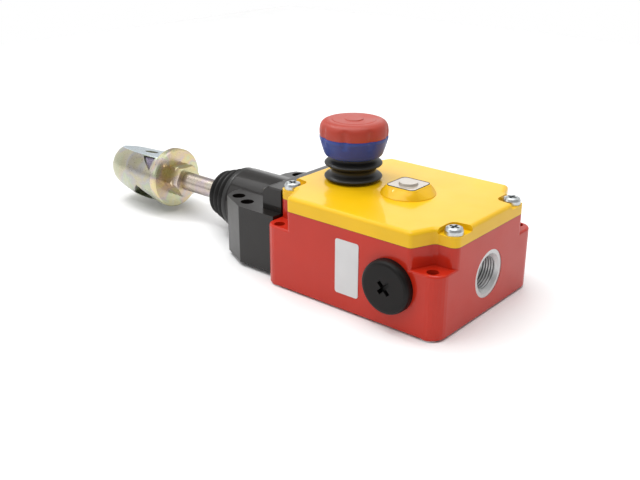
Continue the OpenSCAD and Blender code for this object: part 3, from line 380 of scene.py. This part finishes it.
low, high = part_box("window_lens")
window_x, bead_z = (low[0] + high[0]) / 2 / mm, high[2] / mm - 1.25
angle, rise = np.linspace(0, 2 * np.pi, 193), np.linspace(0, 1, 25)[:, None]
foot_r, foot_depth, belly, shoulder = 14.65, 4.7, 0.32, 0.45
boss_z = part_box("cover")[1][2] / mm
rim = ((9.62, 3.9, -0.15), (9.35, 3.6, 0.02), (8.8, 3.0, 0.02))
reach = foot_r + (square_reach(angle, 9.75, 4) - foot_r) * rise + belly * np.sin(np.pi * rise)
reach = np.vstack([reach, *(square_reach(angle, half, corner) for half, corner, _ in rim)])
height = boss_z - foot_depth + (foot_depth - shoulder) * rise
height = np.vstack([height, *([boss_z + above] for _, _, above in rim)])
boss = ringed("window_boss_skin", window_x, angle, reach, height, yellow_enamel)
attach(boss, "base")
bead_r, ring = 0.22, np.linspace(0, 2 * np.pi, 13)[:, None]
reach, height = square_reach(angle, 8.62, 2.7) + bead_r * np.cos(ring), bead_z + bead_r * np.sin(ring)
bead = ringed("window_bead", window_x, angle, reach, height, black_rubber)
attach(bead, "base")

# ---------------------------------------------------------------------------------------------
# Head: a black-painted casting with a round nose for the bellows and four through holes. Its
# orange peel is stronger than the box's.
black_paint = enamel("black_paint", (0.0085, 0.0068, 0.006), gloss=0.4, peel=0.5, coat_weight=0.42)[0]
coat(black_paint, "head_body")

# ---------------------------------------------------------------------------------------------
# Bronze and brass: the sintered bushes that guide the rod, and the earth screw. Fine pores
# mottle the metal.
bronze, tree, shader = new_material("sintered_bronze", Metallic=1.0, Roughness=0.45)
mottle(tree, shader, 2500.0, 2.0, (0.25, 0.15, 0.07), (0.62, 0.42, 0.2))
coat(bronze, "guide_bush", "inner_bush", "earth_screw")

# ---------------------------------------------------------------------------------------------
# Rod, nuts and rope clamp: turned steel, zinc plated and yellow passivated. The thin film turns
# from straw to rose and green as its thickness drifts. The clamp's nose is turned to a round taper.
passivated_film, given = effect_group("passivated_film", Metal="Color", Strength="Float")
film = add(passivated_film, "ValToRGB", Fac=noise(passivated_film, 55.0, 5.0, Distortion=0.6))
bands = ((0.3, (0.8, 0.9, 0.78)), (0.38, (0.92, 0.88, 0.56)), (0.44, (1.0, 0.84, 0.48)),
         (0.49, (0.96, 0.76, 0.66)), (0.53, (0.82, 0.7, 0.86)), (0.57, (0.8, 0.9, 0.72)),
         (0.64, (0.94, 0.9, 0.6)), (0.72, (0.85, 0.92, 0.96)))
stops = film.color_ramp.elements
for stop, (at, colour) in zip(stops, (bands[0], bands[-1])):
    stop.position, stop.color = at, (*colour, 1)
for at, colour in bands[1:-1]:
    stops.new(at).color = (*colour, 1)
veil = mixed(passivated_film, given["Strength"], (0.9, 0.9, 0.9, 1), film.outputs["Color"])
fine = noise(passivated_film, 900.0, 3.0)
scratches = add(passivated_film, "Bump", Height=fine, Strength=0.12, Distance=0.05 * mm)
close_group(passivated_film, mixed(passivated_film, 1.0, given["Metal"], veil, "MULTIPLY"),
            span(passivated_film, fine, 0.2, 0.4), scratches.outputs["Normal"])


def passivated(name, metal, strength):
    """Zinc-plated steel of one colour with more or less of the yellow film."""
    material, tree, shader = new_material(name, Metallic=1.0)
    return material, tree, dress(tree, shader, passivated_film, Metal=(*metal, 1), Strength=strength)


coat(passivated("yellow_zinc", (0.66, 0.64, 0.53), 0.8)[0], "lock_nut", "jam_nut", "clamp_flange")
coat(passivated("rod_zinc", (0.52, 0.48, 0.48), 0.4)[0], "pull_rod")

# The clamp's flat is milled square to flat_up, flat_height above the rod's axis: paler, with less film.
rod_z = (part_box("pull_rod")[0][2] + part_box("pull_rod")[1][2]) / 2 / mm
slope, flat_height = math.radians(13.5), 12.2
flat_up = (0, math.sin(slope), math.cos(slope))
level = (flat_up[2] * rod_z + flat_height) * mm
turned_tone, milled_tone, turned_film, film_lost = (0.48, 0.5, 0.44), (0.78, 0.9, 0.97), 0.55, 0.45
pale_zinc, tree, film = passivated("pale_zinc", turned_tone, turned_film)
where = add(tree, "TexCoord").outputs["Object"]
on_flat = towards(tree, where, flat_up, level - 0.4 * mm, level - 0.1 * mm, 1.0)
tree.links.new(mixed(tree, on_flat, (*turned_tone, 1), (*milled_tone, 1)), film.inputs["Metal"])
tree.links.new(maths(tree, "SUBTRACT", turned_film, maths(tree, "MULTIPLY", on_flat, film_lost)),
               film.inputs["Strength"])


def trimmed(name, cad, cutter, material):
    """Copy of a CAD node with equal corners merged, kept where it lies inside the cutter, which is then
    deleted."""
    source, mesh = node[cad].data, bpy.data.meshes.new(name)
    places, corners = np.empty(len(source.vertices) * 3), np.empty(len(source.loops), int)
    source.vertices.foreach_get("co", places)
    source.loops.foreach_get("vertex_index", corners)
    places, merged = np.unique(np.round(places.reshape(-1, 3), 7), axis=0, return_inverse=True)
    mesh.from_pydata(places.tolist(), [], merged.reshape(-1)[corners].reshape(-1, 3).tolist())
    made = bpy.data.objects.new(name, mesh)
    bpy.context.collection.objects.link(made)
    cut = made.modifiers.new("kept", "BOOLEAN")
    cut.operation, cut.solver, cut.object = "INTERSECT", "EXACT", cutter
    cut_object = made.evaluated_get(bpy.context.evaluated_depsgraph_get())
    result = bpy.data.meshes.new_from_object(cut_object)
    made.modifiers.clear()
    made.data = result
    result.materials.clear()
    result.materials.append(material)
    result.polygons.foreach_set("material_index", np.zeros(len(result.polygons), int))
    result.polygons.foreach_set("use_smooth", np.ones(len(result.polygons), bool))
    result.set_sharp_from_angle(angle=math.radians(30))
    bpy.data.objects.remove(cutter)
    return made


axes = {"X": [2, 0, 1], "Z": [0, 1, 2]}


def turned(name, profile, centre, along, *materials, steps=96, hollows=0, bite=None):
    """Surface of revolution of (height, radius) points round an axis through centre; bite, one value a point,
    is the depth by which evenly spaced cosine-bell hollows cut into the radius."""
    profile, turn = np.asarray(profile, float), np.linspace(0, 2 * np.pi, steps + 1)
    radius = np.repeat(profile[:, 1:], steps + 1, 1)
    if hollows:
        bell = np.clip(np.cos(hollows * (turn - np.pi / hollows)), 0, 1) ** 3
        radius = radius - np.asarray(bite)[:, None] * bell
    height = np.repeat(profile[:, :1], steps + 1, 1)
    round_it = np.stack([radius * np.cos(turn), radius * np.sin(turn), height], -1)
    return surface(name, round_it[..., axes[along]] + centre, *materials)


# The cutter as (distance behind the tip, radius): blunt at the tip, and wider than the body further back.
nose = np.array([(0, 0), (0, 8.6), (0.3, 10.2), (1.1, 11.7), (2.4, 13), (4.2, 14), (7, 15), (11, 16),
                 (15, 16.8), (19, 17.5), (23, 18.2), (27, 19.2), (50, 19.2), (50, 0)])
nose_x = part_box("clamp_body")[0][0] / mm
cone = turned("nose_cone", (nose + (nose_x, 0)) * mm, (0, 0, rod_z * mm), "X", steps=192)
clamp = trimmed("clamp_body_shell", "clamp_body", cone, pale_zinc)
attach(clamp, "rod")
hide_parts("clamp_body")

# ---------------------------------------------------------------------------------------------
# Serrated pads: hardened steel grips set in the clamp's wall behind its two upper windows, knurled
# in diamonds and passivated violet.
def knurled_pad(name, x0, x1, low, high, inner, outer, bite, centre_z, flank, material):
    """Curved pad round the X axis between two radii and two angles above the flank; its outer face is
    outer - bite |sin(a x + b t) sin(a x - b t)|, two crossing sets of grooves."""
    x, turn = np.linspace(x0, x1, 81)[:, None], np.radians(np.linspace(low, high, 61))
    a, b = 4.2, 60
    face = outer - bite * np.abs(np.sin(a * x + b * turn) * np.sin(a * x - b * turn))
    end = np.full((1, 2 * turn.size + 1), (inner + outer) / 2)
    radius = np.vstack([end, np.hstack([face, np.full_like(face, inner), face[:, :1]]), end])
    x, turn = np.vstack([x[:1], x, x[-1:]]), np.concatenate([turn, turn[::-1], turn[:1]])
    y, z = -flank * radius * np.cos(turn), centre_z + radius * np.sin(turn)
    made = surface(name, np.stack([x + 0 * radius, y, z], -1) * mm, material)
    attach(made, "rod")


grip_steel, tree, shader = new_material("grip_steel", Metallic=0.6, Roughness=0.4)
mottle(tree, shader, 300.0, 2.0, (0.1, 0.08, 0.13), (0.3, 0.27, 0.34))
flange_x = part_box("clamp_flange")[0][0] / mm
both_pads = {"x0": flange_x - 14.2, "x1": flange_x - 1.8, "inner": 10.7, "outer": 17.4, "bite": 0.45,
             "centre_z": rod_z, "material": grip_steel}
knurled_pad("serrated_pad_near", low=18, high=57, flank=1, **both_pads)
knurled_pad("serrated_pad_far", low=-9, high=30, flank=-1, **both_pads)

# ---------------------------------------------------------------------------------------------
# Springs and clips: oiled spring steel. Each spring is a round wire swept along a helix that fills the CAD
# spring's box, with its end coils closed up.
spring_steel, tree, shader = new_material("spring_steel", Metallic=1.0, Roughness=0.3)
mottle(tree, shader, 1200.0, 2.0, (0.2, 0.2, 0.21), (0.45, 0.45, 0.46))
coat(spring_steel, "spring_clip", "detent_ring", "lever_pin")


def coil(name, foot, along, outer_r, wire, length, turns):
    """Compression spring: the centre line turns evenly and climbs by a smooth ramp that closes the end coils;
    round wire is carried along it on the radial and axial directions, and its ends shrink to points."""
    t = np.linspace(0, 1, int(turns * 24) + 1)[:, None]
    ends = np.minimum(1, np.minimum(t, 1 - t) * turns * 24)
    closed_turns, closed_rate, rate_gain = 0.4, 0.25, 0.6
    rate = closed_rate + np.clip(np.minimum(t, 1 - t) * turns - closed_turns, 0, rate_gain)
    climb = np.cumsum(rate) - rate[0]
    climb = wire / 2 + (length - wire) * (climb / climb[-1])[:, None]
    turn, ring = 2 * np.pi * turns * t, np.linspace(0, 2 * np.pi, 13)
    radius = outer_r - wire / 2 + wire / 2 * ends * np.cos(ring)
    rise = climb + wire / 2 * ends * np.sin(ring)
    across = np.stack([radius * np.cos(turn), radius * np.sin(turn), rise], -1)
    made = surface(name, across[..., axes[along]] + foot, spring_steel)
    return made


low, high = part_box("return_spring")
spring = coil("return_spring_wire", (low[0], 0, (low[2] + high[2]) / 2), "X", (high[2] - low[2]) / 2,
              wire=2.6 * mm, length=high[0] - low[0], turns=6.5)
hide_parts("return_spring")
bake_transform(spring)
low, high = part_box("knob_spring")
spring = coil("knob_spring_wire", ((low[0] + high[0]) / 2, 0, low[2]), "Z", (high[0] - low[0]) / 2,
              wire=1.2 * mm, length=high[2] - low[2], turns=8)
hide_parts("knob_spring")
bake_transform(spring)

# ---------------------------------------------------------------------------------------------
# Rod bellows: black rubber moulded in one piece, a cuff stretched over the nose of the head, three
# round folds that shrink towards the rod, and a neck that grips it.
def smoothed(corners, count):
    """Even run of points on a Catmull-Rom curve through the corners."""
    p = np.asarray(corners, float)
    p = np.vstack([2 * p[0] - p[1], p, 2 * p[-1] - p[-2]])
    t = np.linspace(0, len(p) - 3, count)
    k = np.minimum(t.astype(int), len(p) - 4)
    t = (t - k)[:, None]
    a, b, c, d = p[k], p[k + 1], p[k + 2], p[k + 3]
    return 0.5 * (2 * b + (c - a) * t + (2 * a - 5 * b + 4 * c - d) * t**2 + (3 * b - a - 3 * c + d) * t**3)


low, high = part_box("rod_bellows")
foot, neck, axis_z = high[0] / mm, low[0] / mm, (low[2] + high[2]) / 2
cuff, cuff_r, pitch, taper, depth, wall, bore = 3, 19.2, 5.3, 1.63, 2.9, 1.3, 6.1
fold = np.linspace(0, 3.3, 133)
valley = ((1 - np.cos(2 * np.pi * fold)) / 2) ** 0.8
fullness = 0.25 * np.clip(1 - fold, 0, 1)
outside = np.stack([foot - cuff - pitch * fold, cuff_r - taper * fold - depth * valley + fullness], 1)
inside = (outside - [0, wall])[::-1]
lip = [(foot, 15.1), (foot, 18.8), (foot - 0.1, 19.1), (foot - 0.5, cuff_r)]
grip = smoothed([outside[-1] - [0.8, 1.2], (neck + 3, 9.9), (neck + 2.4, 8.6), (neck + 1.2, 8.3),
                 (neck + 0.2, 8.1), (neck, 7.8)], 24)
profile = np.vstack([lip, outside, grip, [(neck, bore), (neck + 4, bore)], inside, lip[:1]]) * mm
bellows = turned("rod_bellows_rubber", profile, (0, 0, axis_z), "X", black_rubber)
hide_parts("rod_bellows")
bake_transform(bellows)

# ---------------------------------------------------------------------------------------------
# Button bellows: black rubber with two thin round-edged folds, tucked in at its foot, under the
# blue ring.
low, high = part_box("knob_bellows")
knob_x, foot = (low[0] + high[0]) / 2, low[2] / mm
first_fold, pitch, valley_r, depth, bore, tuck = 2.1, 7.4, 12.4, 3.5, 11.7, 0.9
z = np.linspace(low[2], high[2], 121) / mm
fold = ((1 + np.cos(2 * np.pi * (z - foot - first_fold) / pitch)) / 2) ** 1.6
tucked = tuck * np.clip((foot + tuck - z) / tuck, 0, 1) ** 2
outside = np.stack([z, valley_r + depth * fold - tucked], 1)
profile = np.vstack([outside, np.stack([z[::-1], np.full_like(z, bore)], 1), outside[:1]]) * mm
bellows = turned("knob_bellows_rubber", profile, (knob_x, 0, 0), "Z", black_rubber)
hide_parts("knob_bellows")
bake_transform(bellows)

# ---------------------------------------------------------------------------------------------
# Stop button: a red cap on a blue reset ring, each moulded in nylon with eight shallow grip hollows
# that fade out on the shoulder. The cap's flat top has a fine groove and a small raised disc.
def gripped(name, profile, bite, material):
    """Turned moulding of the button, in millimetres, with the eight grip hollows."""
    return turned(name, profile * mm, (knob_x, 0, 0), "Z", material, steps=192, hollows=8, bite=bite * mm)


red_button = moulding("red_button", (0.38, 0.032, 0.014), gloss=0.45, grain=0.6, drift=0.3)
blue_ring = moulding("blue_ring", (0.011, 0.038, 0.26), gloss=0.4, grain=0.5, drift=0.3)
low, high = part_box("knob_cap")
rim, top, joint = (high[0] - low[0]) / 2 / mm, high[2] / mm - 0.4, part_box("reset_ring")[1][2] / mm
hollow_depth = 0.8
wall = smoothed([(joint, rim - 0.35), (joint + 0.25, rim - 0.15), (joint + 2, rim), (top - 4.7, rim - 0.1),
                 (top - 2.9, rim - 0.5), (top - 1.4, rim - 1.45), (top - 0.5, rim - 2.9),
                 (top - 0.16, rim - 4.4)], 60)
crown = smoothed([(top - 0.1, 13.6), (top - 0.12, 12.6), (top - 0.12, 12.1), (top - 0.02, 11.7),
                  (top + 0.04, 11.3), (top + 0.06, 9), (top + 0.05, 5.6), (top + 0.1, 5.1), (top + 0.36, 4.8),
                  (top + 0.4, 4.4), (top + 0.4, 0)], 60)
profile = np.vstack([[(joint, 0)], wall, crown])
fade = np.clip((top - 1.6 - profile[:, 0]) / 3, 0, 1)
bite = np.where(profile[:, 1] > rim - 4, hollow_depth * fade, 0)
cap = gripped("red_cap", profile, bite, red_button)
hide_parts("knob_cap")
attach(cap, "button")
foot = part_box("reset_ring")[0][2] / mm
wall = smoothed([(foot, rim - 4.8), (foot + 0.2, rim - 3.9), (foot + 0.9, rim - 3.0), (foot + 2.4, rim - 2.3),
                 (joint - 5, rim - 1.1), (joint - 3, rim - 0.55), (joint - 1.6, rim - 0.1),
                 (joint - 0.3, rim - 0.05), (joint, rim - 0.25)], 60)
profile = np.vstack([[(foot, 8)], wall, [(joint, 8), (foot, 8)]])
fade = np.clip((profile[:, 0] - joint + 5) / 3.5, 0, 1)
bite = np.where(profile[:, 1] > 9, hollow_depth * fade, 0)
ring = gripped("blue_ring_moulding", profile, bite, blue_ring)
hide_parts("reset_ring")
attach(ring, "button")
